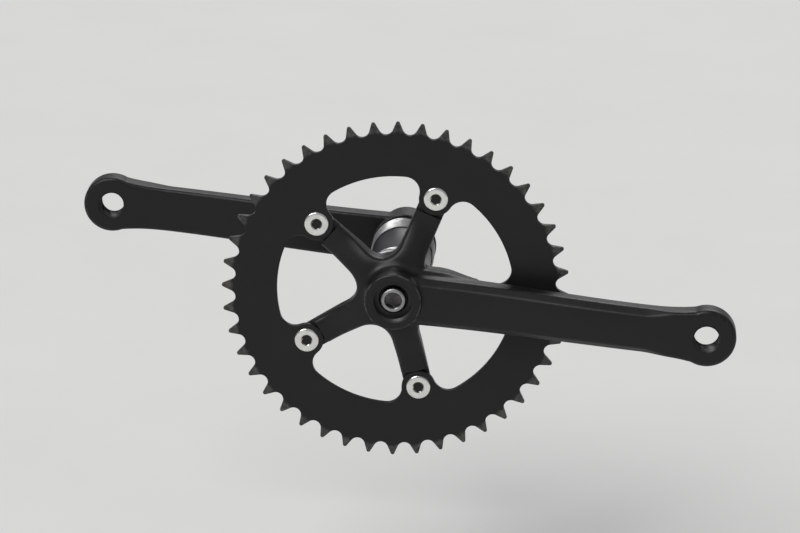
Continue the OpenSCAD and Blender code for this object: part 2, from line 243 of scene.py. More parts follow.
def polygon(sides, across_flats):
    """Corners of a regular polygon."""
    r = across_flats / 2 / math.cos(math.pi / sides)
    angles = [2 * math.pi * i / sides for i in range(sides)]
    return [(r * math.cos(a), r * math.sin(a)) for a in angles]


def threaded_rod(r_crest, depth, pitch, w0, w1, steps=96, rows_per_pitch=9, hand=1):
    """Rod with a helical thread, closed by flat-ish ends."""
    rows = max(2, int((w1 - w0) / pitch * rows_per_pitch))
    angle = np.linspace(0, 2 * np.pi, steps, endpoint=False)
    w = np.linspace(w0, w1, rows + 1)[:, None]
    phase = (w / pitch - hand * angle / (2 * np.pi)) % 1.0
    height = np.clip((np.abs(2 * phase - 1) - 0.14) / 0.72, 0, 1)
    r = r_crest - depth * (1 - height)
    grid = np.stack([r * np.cos(angle), r * np.sin(angle), np.broadcast_to(w, r.shape)], axis=-1)
    points = grid.reshape(-1, 3).tolist() + [(0, 0, w0), (0, 0, w1)]
    faces = []
    for k in range(rows):
        for i in range(steps):
            j = (i + 1) % steps
            faces.append((k * steps + i, k * steps + j, (k + 1) * steps + j, (k + 1) * steps + i))
    bottom, top = len(points) - 2, len(points) - 1
    last = rows * steps
    for i in range(steps):
        j = (i + 1) % steps
        faces += [(bottom, j, i), (top, last + i, last + j)]
    return solid("rod", points, faces)


def finish_piece(mesh, name, side, body, node, material, sharp=30):
    """Puts a finished mesh into the scene in place of its CAD node."""
    mesh.transform(side_matrix(side))
    if side_matrix(side).determinant() < 0:
        mesh.flip_normals()
    mesh.name = name
    mesh.shade_smooth()
    mesh.set_sharp_from_angle(angle=math.radians(sharp))
    mesh.materials.clear()
    mesh.materials.append(material)
    piece = bpy.data.objects.new(name, mesh)
    bpy.context.scene.collection.objects.link(piece)
    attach(piece, body)
    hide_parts(node)
    return piece


# ---------------------------------------------------------------- smooth solids from distances


def ease(t):
    t = np.clip(t, 0, 1)
    return t * t * (3 - 2 * t)


def soft_min(a, b, k):
    """Union of two solids with a fillet about k wide."""
    h = np.clip(0.5 + 0.5 * (b - a) / k, 0, 1)
    return b + (a - b) * h - k * h * (1 - h)


def soft_max(a, b, k):
    return -soft_min(-a, -b, k)


def round_max(a, b, r):
    """Intersection of two solids with an edge radius r."""
    return np.hypot(np.maximum(a + r, 0), np.maximum(b + r, 0)) + np.minimum(np.maximum(a, b) + r, 0) - r


def bevel_max(a, b, width, soft=0.7):
    """Intersection of two solids with a softened bevel of that width along the edge."""
    return soft_max(round_max(a, b, soft), (a + b + width) / math.sqrt(2), soft)


def surface_mesh(name, distance, low, high, voxel):
    """Closed quad mesh of distance(u, v, w) = 0, with every corner pulled onto the exact surface."""
    axes = [np.arange(a, b + voxel, voxel) for a, b in zip(low, high)]
    field = distance(axes[0][:, None, None], axes[1][None, :, None], axes[2][None, None, :])
    grid = openvdb.FloatGrid(10.0)
    grid.copyFromArray(np.ascontiguousarray(field, dtype=np.float32))
    points, quads = grid.convertToQuads(0.0)
    points = np.asarray(points, dtype=float) * voxel + np.array(low)
    points = onto_surface(distance, points)
    return solid(name, points, [tuple(q) for q in quads.tolist()])


def slope_at(distance, p, step=0.05):
    """Gradient of a distance at each point."""
    g = np.zeros_like(p)
    for axis in range(3):
        shift = np.zeros(3)
        shift[axis] = step
        g[:, axis] = (distance(*(p + shift).T) - distance(*(p - shift).T)) / (2 * step)
    return g


def onto_surface(distance, p, rounds=3, limit=0.4):
    """Points moved along the gradient to where the distance is zero."""
    for _ in range(rounds):
        g = slope_at(distance, p)
        step = (distance(*p.T) / np.maximum((g * g).sum(axis=1), 0.05))[:, None] * g
        length = np.linalg.norm(step, axis=1, keepdims=True)
        p = p - step * np.minimum(1, limit / np.maximum(length, 1e-9))
    return p


def mark_edges(mesh, distance, reach=0.7, depth=0.25):
    """Vertex values: edge is high on convex edges, cut is 1 on machined faces inside the forging."""
    p = np.empty(len(mesh.vertices) * 3)
    mesh.vertices.foreach_get("co", p)
    p = p.reshape(-1, 3)
    centre = distance(*p.T)
    around = sum(distance(*(p + s * reach * np.eye(3)[a]).T) for a in range(3) for s in (-1, 1))
    bend = (around - 6 * centre) / reach**2
    for name, value in (
        ("edge", np.clip(bend * 0.9, 0, 1)),
        ("cut", (centre < -depth).astype(float)),
    ):
        layer = mesh.attributes.new(name, "FLOAT", "POINT")
        layer.data.foreach_set("value", value.astype(np.float32))


# ---------------------------------------------------------------- crank arms


def arm_half(u):
    """Half the arm's height along its length."""
    root = WAIST_HALF + (ROOT_HALF - WAIST_HALF) * (1 + np.cos(np.pi * np.clip(u / WAIST_U, 0, 1))) / 2
    flare = WAIST_HALF + (EYE_R - WAIST_HALF) * np.clip((u - WAIST_U) / (ARM_LEN - WAIST_U), 0, 1) ** 3
    return np.where(u < WAIST_U, root, flare)


def arm_sweep(u):
    """0 at the boss, 1 at the pedal eye: how far the arm has swung outward."""
    return ease((u - 18) / (ARM_LEN - EYE_R - 20))


def arm_shape(u, v, w):
    """Tapering arm with its round eye, bevelled along the front and rounded along the back."""
    half = arm_half(u)
    eye = np.hypot(u - ARM_LEN, v) - EYE_R
    beam = np.where(u < 0, np.hypot(u, v) - half, np.abs(v) - half)
    beam = np.where(u > ARM_LEN, eye, beam)
    outline = np.minimum(beam, eye)
    swept = arm_sweep(u)
    flat_eye = ease((u - ARM_LEN + 34) / 16)
    crown = 0.9 * (1 - flat_eye) * np.clip(v / half, -1.2, 1.2) ** 2
    front = w - (ARM_FACE_ROOT + (EYE_OUT - ARM_FACE_ROOT) * swept) + crown
    back = ARM_BACK_ROOT + (EYE_IN - ARM_BACK_ROOT) * swept - w
    bevel = 3.4 - 2.0 * flat_eye
    return round_max(bevel_max(outline, front, bevel), back, 2.0)


def boss_shape(u, v, w):
    """Round boss around the spindle, a little wider at the back."""
    rho = np.hypot(u, v)
    radius = BOSS_R - 0.4 + 2.6 * ease((BOSS_BACK + 9 - w) / 9)
    mid, half = (BOSS_FRONT + BOSS_BACK) / 2, (BOSS_FRONT - BOSS_BACK) / 2
    return round_max(rho - radius, np.abs(w - mid) - half, 0.9)


def spider_plan(u, v):
    """Distance to the spider's outline, seen along the spindle."""
    angle = (np.arctan2(v, u) + SPOKE_STEP / 2) % SPOKE_STEP - SPOKE_STEP / 2
    rho = np.hypot(u, v)
    x, y = rho * np.cos(angle), np.abs(rho * np.sin(angle))
    fall = (SPOKE_TIP_HALF - SPOKE_ROOT_HALF) / (SPOKE_TIP_U - SPOKE_ROOT_U)
    lean = math.cos(math.atan(fall))

    def beside(px, py):
        return (py - SPOKE_ROOT_HALF - fall * (px - SPOKE_ROOT_U)) * lean

    turned = SPOKE_STEP - np.arctan2(y, x)
    near, far = beside(x, y), beside(rho * np.cos(turned), rho * np.sin(turned))
    web = -round_max(-near, -far, HOLLOW_R)
    tip = np.hypot(x - BOLT_CIRCLE, y) - SPOKE_TIP_HALF
    return np.minimum(np.maximum(web, x - BOLT_CIRCLE), tip)


def spider_shape(u, v, w):
    """Five spokes, thick at the hub and thinner at the tabs."""
    rho = np.hypot(u, v)
    plan = spider_plan(u, v)
    root = ease((42 - rho) / 26)
    front = w - (RING_FRONT + 0.5 + 7.0 * root) + 0.9 * np.clip((plan + 5.5) / 5.5, 0, 1) ** 2
    back = SPIDER_BACK + 2.0 * ease((32 - rho) / 12) - w
    return round_max(round_max(plan, front, 1.8), back, 1.0)


def left_shape(u, v, w):
    return soft_min(arm_shape(u, v, w), boss_shape(u, v, w), 2.0)


def web_shape(u, v, w):
    """The spoke behind the right arm, as wide as the arm."""
    half = arm_half(u) + 1.5 - 4.5 * ease((u - 22) / 24)
    side = round_max(np.abs(v) - half, -u, 1.0)
    outline = round_max(side, np.hypot(u, v) - (SEAT_R - 1.0), 1.5)
    return round_max(outline, np.maximum(BOSS_BACK - w, w - ARM_BACK_ROOT - 3.0), 1.0)


def right_shape(u, v, w):
    spider = soft_min(spider_shape(u, v, w), web_shape(u, v, w), 2.0)
    return soft_min(left_shape(u, v, w), spider, 4.5)


def taper_hole():
    """Tapered square cutter for the spindle, with rounded corners."""
    points, ends = [], (BOSS_BACK - 1, WASHER_IN + 1)
    for w in ends:
        half = TAPER_FLAT / 2 + math.tan(TAPER_SLOPE) * (TAPER_END - w) + 0.02
        corner = math.acos(min(1, half / 8.25))
        for k in range(4):
            for i in range(5):
                a = k * math.pi / 2 + corner + (math.pi / 2 - 2 * corner) * i / 4
                r = half / math.cos(corner)
                points.append((r * math.cos(a), r * math.sin(a), w))
    n = len(points) // 2
    faces = [tuple(range(n)), tuple(range(n, 2 * n))[::-1]]
    faces += [(i + n, (i + 1) % n + n, (i + 1) % n, i) for i in range(n)]
    return solid("taper", points, faces)


def arm_cutters():
    """Everything machined into both arms: taper, bolt seat, extractor thread and pedal thread."""
    seat_r = WASHER_R + 0.3
    seat = lathe([(0, WASHER_IN), (seat_r, WASHER_IN), (seat_r, BOSS_FRONT + 1), (0, BOSS_FRONT + 1)])
    relief = lathe([(0, EXTRACTOR_IN), (EXTRACTOR_R, EXTRACTOR_IN), (EXTRACTOR_R, EXTRACTOR_IN + 0.9),
                    (EXTRACTOR_R - 0.55, EXTRACTOR_IN + 1.4), (0, EXTRACTOR_IN + 1.4)])
    thread = threaded_rod(EXTRACTOR_R, 0.55, 1.0, EXTRACTOR_IN + 0.5, BOSS_FRONT + 1.5)
    mouth = lathe([(0, BOSS_FRONT - 0.9), (EXTRACTOR_R - 0.6, BOSS_FRONT - 0.9),
                   (EXTRACTOR_R + 0.9, BOSS_FRONT + 0.6), (0, BOSS_FRONT + 0.6)])
    tools = [taper_hole(), seat, relief, thread, mouth]
    pedal = threaded_rod(PEDAL_R, 0.6, 1.27, EYE_IN - 1.5, EYE_OUT + 1.5, steps=80)
    tools.append(move(pedal, u=ARM_LEN))
    for face, way in ((EYE_OUT, 1), (EYE_IN, -1)):
        cone = lathe([(0, face - way * 0.9), (PEDAL_R - 0.5, face - way * 0.9),
                      (PEDAL_R + 0.9, face + way * 0.5), (0, face + way * 0.5)])
        tools.append(move(cone, u=ARM_LEN))
    return tools


def spider_cutters():
    """The machined seat that centres the chainring, and the bolt holes with their nut faces."""
    beyond, front = 72, RING_FRONT + 2.2
    tools = [lathe([(SEAT_R, RING_BACK), (beyond, RING_BACK), (beyond, front), (SEAT_R, front)], 240)]
    for i in range(SPOKES):
        a = i * SPOKE_STEP
        hole = lathe([(0, SPIDER_BACK - 1), (BOLT_HOLE_R, SPIDER_BACK - 1),
                      (BOLT_HOLE_R, RING_BACK + 1), (0, RING_BACK + 1)], 48)
        tools.append(move(hole, u=BOLT_CIRCLE * math.cos(a), v=BOLT_CIRCLE * math.sin(a)))
    return tools


def make_arms(material):
    """Both forged arms, meshed from their distances and then machined."""
    voxel, margin = 0.6, 1.5
    reach = SPOKE_TIP_HALF + BOLT_CIRCLE + margin
    end, top = ARM_LEN + EYE_R + margin, EYE_OUT + margin
    low = (-reach, -reach, SPIDER_BACK - margin)
    blank = surface_mesh("right", right_shape, low, (end, reach, top), voxel)
    mesh = carve("right", blank, arm_cutters() + spider_cutters())
    mark_edges(mesh, right_shape)
    finish_piece(mesh, "right_arm_forged", RIGHT, CRANK, "right_crank_arm", material)
    side = BOSS_R + 4
    low = (-side, -side, BOSS_BACK - margin)
    blank = surface_mesh("left", left_shape, low, (end, side, top), voxel)
    mesh = carve("left", blank, arm_cutters())
    mark_edges(mesh, left_shape)
    finish_piece(mesh, "left_arm_forged", LEFT, CRANK, "left_crank_arm", material)


# ---------------------------------------------------------------- chainring


def tooth_half():
    """(radius, angle) from the middle of a roller seat to the middle of the tooth beside it."""
    seat = [SEAT_ANGLE * i / 9 for i in range(10)]
    path = [(PITCH_R - ROLLER_R * math.cos(a), ROLLER_R * math.sin(a)) for a in seat]
    run = (TIP_R - path[-1][0]) / math.sin(SEAT_ANGLE)
    for t in (0.25, 0.5, 0.72, 0.88):
        x, y = path[9]
        path.append((x + run * t * math.sin(SEAT_ANGLE), y + run * t * math.cos(SEAT_ANGLE)))
    pairs = [(math.hypot(x, y), math.atan2(y, x)) for x, y in path]
    half = math.pi / TEETH
    start = pairs[-1][1]
    for t, drop in ((0.3, 0.22), (0.6, 0.06), (1.0, 0.0)):
        pairs.append((TIP_R - drop, start + (half - start) * t))
    return pairs


def ring_outline():
    """Whole toothed outline as (radius, angle), anticlockwise."""
    half = tooth_half()
    step = 2 * math.pi / TEETH
    one = half[:-1] + [(r, step - a) for r, a in reversed(half)][:-1]
    return [(r, a + i * step) for i in range(TEETH) for r, a in one]


def arc(centre, r, a0, a1, n):
    """n + 1 points round a centre, from angle a0 to a1."""
    angles = [a0 + (a1 - a0) * i / n for i in range(n + 1)]
    return [(centre[0] + r * math.cos(a), centre[1] + r * math.sin(a)) for a in angles]


def ring_opening(inset=0.0):
    """Inner outline with a tab at each bolt, moved into the ring's metal by inset, anticlockwise."""
    inner, tab, corner = RING_INNER_R + inset, TAB_R - inset, CORNER_R + inset
    reach, span = inner - corner, tab + corner
    a = math.acos((BOLT_CIRCLE**2 + reach**2 - span**2) / (2 * BOLT_CIRCLE * reach))
    d = math.pi - math.acos((BOLT_CIRCLE**2 + span**2 - reach**2) / (2 * BOLT_CIRCLE * span))
    one = arc((BOLT_CIRCLE, 0), tab, -d, -2 * math.pi + d, 28)
    bend = arc((reach * math.cos(a), reach * math.sin(a)), corner, d + math.pi, a + 2 * math.pi, 12)
    one += bend[1:]
    one += arc((0, 0), inner, a, SPOKE_STEP - a, 30)[1:-1]
    mirrored = [(math.hypot(x, y), SPOKE_STEP - math.atan2(y, x)) for x, y in reversed(bend)]
    one += [(r * math.cos(t), r * math.sin(t)) for r, t in mirrored][:-1]
    whole = []
    for i in range(SPOKES):
        c, s = math.cos(i * SPOKE_STEP), math.sin(i * SPOKE_STEP)
        whole += [(x * c - y * s, x * s + y * c) for x, y in one]
    return whole


def make_chainring(material):
    """Toothed ring, thinned towards the tips, with a tab at each bolt.

    Known fault: the flat caps are wound the other way from the toothed rows, so Blender skips the
    bolt-hole cuts.
    """
    mid, half_t = (RING_FRONT + RING_BACK) / 2, (RING_FRONT - RING_BACK) / 2
    base_r, thin_from, thin_by, edge = PITCH_R - 6.6, PITCH_R - 2.2, 0.75, 0.14
    outline = ring_outline()
    n = len(outline)
    levels = [0, 0.3, 0.55, 0.75, 0.9]
    points, faces = [], []

    def half_thickness(r):
        return half_t - thin_by * float(ease((r - thin_from) / (TIP_R - thin_from)))

    for level in levels + ["lip", "rim"]:
        for r, a in outline:
            inside = r - edge
            if level == "rim":
                here, t = r, half_thickness(r) - edge
            elif level == "lip":
                here, t = inside, half_thickness(inside)
            else:
                here = base_r + (inside - base_r) * level
                t = half_thickness(here)
            points.append((here * math.cos(a), here * math.sin(a), t))
    rows = len(levels) + 2
    shift = len(points)
    points += [(x, y, -t) for x, y, t in points]
    for k in range(rows - 1):
        for i in range(n):
            j = (i + 1) % n
            quad = (k * n + i, k * n + j, (k + 1) * n + j, (k + 1) * n + i)
            faces.append(quad)
            faces.append(tuple(shift + q for q in reversed(quad)))
    last = (rows - 1) * n
    for i in range(n):
        j = (i + 1) % n
        faces.append((last + i, last + j, shift + last + j, shift + last + i))

    wall, face = ring_opening(), ring_opening(0.3)
    m = len(wall)
    first = len(points)
    points += [(x, y, half_t) for x, y in face] + [(x, y, half_t - 0.3) for x, y in wall]
    points += [(x, y, 0.3 - half_t) for x, y in wall] + [(x, y, -half_t) for x, y in face]
    for k in range(3):
        for i in range(m):
            j = (i + 1) % m
            here, below = first + k * m, first + (k + 1) * m
            faces.append((here + j, here + i, below + i, below + j))
    loops = [[Vector((*points[i][:2], 0)) for i in range(n)], [Vector((x, y, 0)) for x, y in face]]
    for a, b, c in tessellate_polygon(loops):
        front = [i if i < n else first + i - n for i in (a, b, c)]
        back = [i + shift if i < n else first + 3 * m + i - n for i in (a, b, c)]
        pa, pb, pc = (Vector(points[i][:2]) for i in front)
        if (pb - pa).cross(pc - pa) < 0:
            front.reverse()
            back.reverse()
        faces.append(tuple(front))
        faces.append(tuple(reversed(back)))
    blank = solid("ring", [(x, y, t + mid) for x, y, t in points], faces)

    tools = []
    sink_r, lead_r = 6.6, 6.9
    for i in range(SPOKES):
        at = {"u": BOLT_CIRCLE * math.cos(i * SPOKE_STEP), "v": BOLT_CIRCLE * math.sin(i * SPOKE_STEP)}
        seat = RING_FRONT - BOLT_HEAD_SINK
        tools.append(move(lathe([(0, RING_BACK - 1), (BOLT_HOLE_R, RING_BACK - 1), (BOLT_HOLE_R, seat),
                                 (sink_r, seat), (sink_r, RING_FRONT - 0.15), (lead_r, RING_FRONT + 0.15),
                                 (lead_r, RING_FRONT + 1), (0, RING_FRONT + 1)], 64), **at))
    mesh = carve("ring", blank, tools)
    finish_piece(mesh, "chainring_machined", RIGHT, CRANK, "chainring", material, sharp=24)


# ---------------------------------------------------------------- fasteners


def at_bolts(mesh):
    """Five copies of a mesh, one at each chainring bolt, as one mesh."""
    points, faces = [], []
    turn_step, first_turn = 2.1, 0.4
    co = [v.co.copy() for v in mesh.vertices]
    polys = [tuple(p.vertices) for p in mesh.polygons]
    for i in range(SPOKES):
        a = i * SPOKE_STEP
        place = Matrix.Translation((BOLT_CIRCLE * math.cos(a), BOLT_CIRCLE * math.sin(a), 0))
        turn = Matrix.Rotation(i * turn_step + first_turn, 4, "Z")
        first = len(points)
        points += [place @ turn @ c for c in co]
        faces += [tuple(first + k for k in p) for p in polys]
    return mesh_from(mesh.name, points, faces)


def ring_bolt():
    """Chainring bolt: low domed head with a hex socket, and a threaded shank."""
    head, top = RING_FRONT - BOLT_HEAD_SINK, RING_FRONT + 0.7
    r = BOLT_HEAD_R
    blank = lathe([(0, SPIDER_BACK), (3.4, SPIDER_BACK), (THREAD_R, SPIDER_BACK + 0.6),
                   (THREAD_R, head - 0.3), (4.4, head), (r, head), (r, top - 0.75), (r - 0.1, top - 0.45),
                   (r - 0.35, top - 0.2), (r - 0.75, top - 0.06), (r - 1.2, top), (0, top)], 72)
    socket = prism(polygon(6, BOLT_HEX), top - 4.0, top + 1)
    lead = lathe([(0, top - 0.75), (2.4, top - 0.75), (3.35, top + 0.2), (0, top + 0.2)], 48)
    point = lathe([(0, top - 5.0), (2.45, top - 3.9), (0, top - 3.9)], 48)
    return carve("ring_bolt", blank, [socket, lead, point])


def sleeve_nut():
    """Sleeve nut: low head with two peg slots and a smooth barrel."""
    r, seat, half = BOLT_HEAD_R, SPIDER_BACK, PEG_SLOT_HALF
    back, end = seat - NUT_HEAD_T, RING_FRONT - 1.0
    blank = lathe([(NUT_BORE_R, back), (r - 1.1, back), (r - 0.45, back + 0.15), (r - 0.1, back + 0.45),
                   (r, back + 0.8), (r, seat), (NUT_BARREL_R, seat), (NUT_BARREL_R, end - 0.3), (4.7, end),
                   (NUT_BORE_R, end)], 72)
    slot = prism([(-8, -half), (8, -half), (8, half), (-8, half)], back - 1, back + 0.8)
    return carve("sleeve_nut", blank, [slot])


def crank_bolt():
    """M8 cap screw with a deep hex socket."""
    seat, top, r = WASHER_OUT, BOLT_TOP, CRANK_BOLT_R
    bottom = top - CRANK_SOCKET_DEPTH
    shank_end = seat - 1.5 - CRANK_SHANK
    blank = lathe([(0, shank_end), (3.2, shank_end), (THREAD_R, shank_end + 0.8), (THREAD_R, seat - 0.4),
                   (4.4, seat), (r - 0.3, seat), (r, seat + 0.3), (r, top - 0.9), (r - 0.2, top - 0.4),
                   (r - 0.6, top - 0.1), (r - 1.0, top), (0, top)], 96)
    socket = prism(polygon(6, CRANK_HEX), bottom, top + 1)
    lead = lathe([(0, top - 0.7), (4.0, top - 0.7), (4.95, top + 0.25), (0, top + 0.25)], 64)
    point = lathe([(0, bottom - 1.4), (3.95, bottom + 0.1), (0, bottom + 0.1)], 64)
    return carve("crank_bolt", blank, [socket, lead, point])


def washer():
    """Plain washer with broken edges."""
    r, hole = WASHER_R, WASHER_HOLE_R
    return lathe([(hole, WASHER_IN + 0.2), (hole + 0.2, WASHER_IN), (r - 0.2, WASHER_IN),
                  (r, WASHER_IN + 0.2), (r, WASHER_OUT - 0.3), (r - 0.3, WASHER_OUT),
                  (hole + 0.25, WASHER_OUT), (hole, WASHER_OUT - 0.25)])


def make_fasteners(bright, bolt_steel, washer_steel):
    """Chainring bolts with their nuts, and each arm's bolt and washer."""
    bolts, nuts = at_bolts(ring_bolt()), at_bolts(sleeve_nut())
    finish_piece(bolts, "ring_bolts", RIGHT, CRANK, "chainring_bolts", bright)
    finish_piece(nuts, "ring_nuts", RIGHT, CRANK, "chainring_sleeve_nuts", bright)
    for side, word in ((RIGHT, "right"), (LEFT, "left")):
        bolt = move(crank_bolt(), turn=0.25 - 0.4 * side)
        finish_piece(bolt, f"{word}_cap_screw", side, CRANK, f"{word}_crank_bolt",
                     bolt_steel)
        finish_piece(washer(), f"{word}_plain_washer", side, CRANK, f"{word}_crank_washer",
                     washer_steel)


# ---------------------------------------------------------------- bottom bracket


def cup(side, flange):
    """Threaded cup: helical thread outside, stepped bore, splined mouth, and a flange on the right."""
    inner = SHELL_HALF - CUP_LEN
    mouth = SHELL_HALF + (FLANGE_T if flange else 0)
    rod_end = SHELL_HALF if not flange else SHELL_HALF + 0.5
    rod = threaded_rod(CUP_R, 0.6, 25.4 / 24, inner, rod_end, 180, hand=side)
    if flange:
        neck, core_r = CUP_R - 0.8, CUP_R - 1
        collar = lathe([(CUP_R - 1.4, SHELL_HALF - 1.4), (neck, SHELL_HALF - 1.4), (neck, SHELL_HALF),
                        (FLANGE_R - 0.3, SHELL_HALF), (FLANGE_R, SHELL_HALF + 0.3), (FLANGE_R, mouth - 0.7),
                        (FLANGE_R - 0.7, mouth), (CUP_R - 1.4, mouth)], 128)
        core = lathe([(0, SHELL_HALF - 1), (core_r, SHELL_HALF - 1), (core_r, mouth), (0, mouth)], 128)
        rod = carve("cup", rod, [core, collar], "UNION")
    lead = 16.9
    bore = lathe([(0, inner - 2), (lead, inner - 2), (CUP_BORE_R, inner + 1), (CUP_BORE_R, CUP_SEAT),
                  (SPLINE_TIP_R, CUP_SEAT), (SPLINE_TIP_R, mouth - 0.5), (16.1, mouth + 0.2),
                  (16.1, mouth + 2), (0, mouth + 2)], 128)
    run_in = lathe([(CUP_R - 0.7, inner - 1), (CUP_R + 1, inner - 1), (CUP_R + 1, inner + 1.2),
                    (CUP_R + 0.1, inner + 0.7), (CUP_R - 0.7, inner)], 128)
    tools = [bore, run_in]
    inside, half = 14, SPLINE_HALF
    outline = [(inside, -half), (SPLINE_ROOT_R, -half), (SPLINE_ROOT_R, half), (inside, half)]
    for i in range(SPLINES):
        tools.append(move(prism(outline, CUP_SEAT + CUP_LIP, mouth + 2), turn=i * math.pi / 10))
    return carve("cup", rod, tools)


def make_bracket(cup_steel, tube_paint):
    """Both cups, and the tube between them with a shallow waist."""
    for side, word in ((RIGHT, "right"), (LEFT, "left")):
        finish_piece(cup(side, side == RIGHT), f"{word}_splined_cup", side, BRACKET, f"{word}_cup",
                     cup_steel)
    half, waist, waist_r = TUBE_HALF, 19.6, 16.0
    tube = lathe([(TUBE_BORE_R, -half), (TUBE_R - 0.3, -half), (TUBE_R, -half + 0.3), (TUBE_R, -waist),
                  (waist_r, -19.2), (waist_r, 19.2), (TUBE_R, waist), (TUBE_R, half - 0.3),
                  (TUBE_R - 0.3, half), (TUBE_BORE_R, half)], 128)
    finish_piece(tube, "painted_tube", RIGHT, BRACKET, "cartridge_tube", tube_paint)


# ---------------------------------------------------------------- materials


class Shade:
    """A node material, built with short calls."""

    def __init__(self, name, **shader):
        self.material = bpy.data.materials.new(name)
        self.material.use_nodes = True
        self.tree = self.material.node_tree
        self.shader = self.tree.nodes["Principled BSDF"]
        self.place = self.add("ShaderNodeTexCoord").outputs["Object"]
        for socket, value in shader.items():
            self.set(socket.replace("_", " "), value)

    def add(self, kind, inputs=None, **settings):
        node = self.tree.nodes.new(kind)
        for key, value in settings.items():
            setattr(node, key, value)
        for key, value in (inputs or {}).items():
            self.feed(node.inputs[key], value)
        return node

    def feed(self, socket, value):
        if isinstance(value, bpy.types.NodeSocket):
            self.tree.links.new(value, socket)
        else:
            socket.default_value = value

    def set(self, socket, value):
        self.feed(self.shader.inputs[socket], value)

    def noise(self, scale, detail=3.0, roughness=0.55, at=None):
        return self.add("ShaderNodeTexNoise", {"Vector": at or self.place, "Scale": scale, "Detail": detail,
                                               "Roughness": roughness}).outputs["Fac"]

    def span(self, value, low, high, to_low=0.0, to_high=1.0):
        return self.add("ShaderNodeMapRange", {"Value": value, "From Min": low, "From Max": high,
                                               "To Min": to_low, "To Max": to_high}).outputs["Result"]

    def math(self, operation, a, b=0.0):
        return self.add("ShaderNodeMath", {0: a, 1: b}, operation=operation).outputs[0]

    def mix(self, factor, a, b):
        node = self.add("ShaderNodeMix", data_type="RGBA")
        for index, value in ((0, factor), (6, a), (7, b)):
            if isinstance(value, bpy.types.NodeSocket):
                self.tree.links.new(value, node.inputs[index])
            else:
                node.inputs[index].default_value = value if index == 0 else (*value, 1)
        return node.outputs[2]

    def attribute(self, name):
        return self.add("ShaderNodeAttribute", attribute_name=name).outputs["Fac"]

    def bump(self, height, strength, distance):
        normal = self.add("ShaderNodeBump", {"Height": height, "Strength": strength, "Distance": distance})
        self.set("Normal", normal.outputs["Normal"])

    def polar(self):
        """(distance from the spindle axis, angle, distance along it) of the point being shaded."""
        x, y, z = (self.add("ShaderNodeSeparateXYZ", {0: self.place}).outputs[i] for i in range(3))
        squares = [self.math("MULTIPLY", c, c) for c in (x, z)]
        radius = self.math("SQRT", self.math("ADD", *squares))
        return radius, self.math("ARCTAN2", z, x), y


def forged_black():
    """Satin black over a forging: fine grain, faint handling marks, thin paint on the edges."""
    s = Shade("forged_black", Specular_IOR_Level=0.3)
    cloud = s.noise(38, 4)
    grain = s.noise(1500, 2)
    scuff = s.noise(260, 6, 0.7)
    edge = s.attribute("edge")
    worn = s.span(s.math("MULTIPLY", edge, s.span(scuff, 0.35, 0.75)), 0.18, 0.6)
    bare = s.attribute("cut")
    paint = s.mix(cloud, (0.0055, 0.0055, 0.0052), (0.0095, 0.0095, 0.009))
    skin = s.mix(s.math("MULTIPLY", worn, 0.16), paint, (0.32, 0.32, 0.31))
    s.set("Base Color", s.mix(s.math("MULTIPLY", bare, 0.8), skin, (0.05, 0.05, 0.049)))
    s.set("Metallic", s.math("MULTIPLY", bare, 0.6))
    rough = s.math("ADD", s.span(cloud, 0.3, 0.7, 0.34, 0.44), s.span(scuff, 0.3, 0.8, -0.03, 0.08))
    s.set("Roughness", rough)
    s.bump(s.math("ADD", grain, s.math("MULTIPLY", scuff, 1.6)), 0.35, 0.00012)
    return s.material


def machined_black():
    """Black anodised ring: turned marks round the axis, chain-polished metal around the teeth."""
    s = Shade("machined_black", Specular_IOR_Level=0.3)
    radius, angle, along = s.polar()
    stretched = [s.math("MULTIPLY", value, by) for value, by in ((radius, 9000), (angle, 1.3), (along, 300))]
    turned = s.add("ShaderNodeCombineXYZ", dict(enumerate(stretched))).outputs[0]
    marks = s.noise(1.0, 3, 0.6, turned)
    cloud = s.noise(45, 4)
    scuff = s.noise(320, 6, 0.72)
    chain = s.span(radius, (PITCH_R - 5.5) * MM, (PITCH_R - 1.5) * MM)
    rubbed = s.span(s.math("MULTIPLY", chain, scuff), 0.33, 0.62)
    black = s.mix(cloud, (0.0055, 0.0055, 0.0053), (0.0095, 0.0095, 0.0092))
    s.set("Base Color", s.mix(s.math("MULTIPLY", rubbed, 0.35), black, (0.25, 0.245, 0.235)))
    s.set("Metallic", s.math("MULTIPLY", rubbed, 0.5))
    rough = s.math("ADD", s.span(marks, 0.3, 0.7, 0.33, 0.46), s.span(scuff, 0.3, 0.8, -0.03, 0.06))
    s.set("Roughness", rough)
    s.bump(s.math("ADD", marks, s.math("MULTIPLY", scuff, 0.7)), 0.25, 0.00008)
    return s.material


def metal(name, colour, dark, rough, grain_scale, stretch=(1, 1, 1), bump=0.2, socket_shade_r=None):
    """Bare or plated metal with fine directional marks and a little tarnish.

    The last argument is a distance from the spindle axis, in metres, inside which the colour is darkened as
    painted shade in the socket there, with a little random darkening elsewhere.
    """
    s = Shade(name, Metallic=1.0)
    lay = s.add("ShaderNodeVectorMath", {0: s.place, 1: stretch}, operation="MULTIPLY").outputs[0]
    marks = s.noise(grain_scale, 3, 0.6, lay)
    cloud = s.noise(160, 5, 0.65)
    skin = s.mix(s.span(cloud, 0.42, 0.8), colour, dark)
    if socket_shade_r:
        # Painted shade: the colour goes dark inside this radius, where the crank bolt's hex socket lies; the
        # cloud adds random tarnish on top.
        near = s.span(s.polar()[0], socket_shade_r * 1.06, socket_shade_r * 0.97, 0.0, 0.8)
        socket_shade_and_tarnish = s.math("ADD", near, s.span(cloud, 0.3, 0.8, -0.1, 0.2))
        skin = s.mix(s.span(socket_shade_and_tarnish, 0.0, 1.0), skin, (0.035, 0.033, 0.03))
    s.set("Base Color", skin)
    s.set("Roughness", s.math("ADD", s.span(marks, 0.3, 0.7, rough - 0.04, rough + 0.06),
                              s.span(cloud, 0.4, 0.8, 0, 0.12)))
    s.bump(marks, bump, 0.00004)
    return s.material


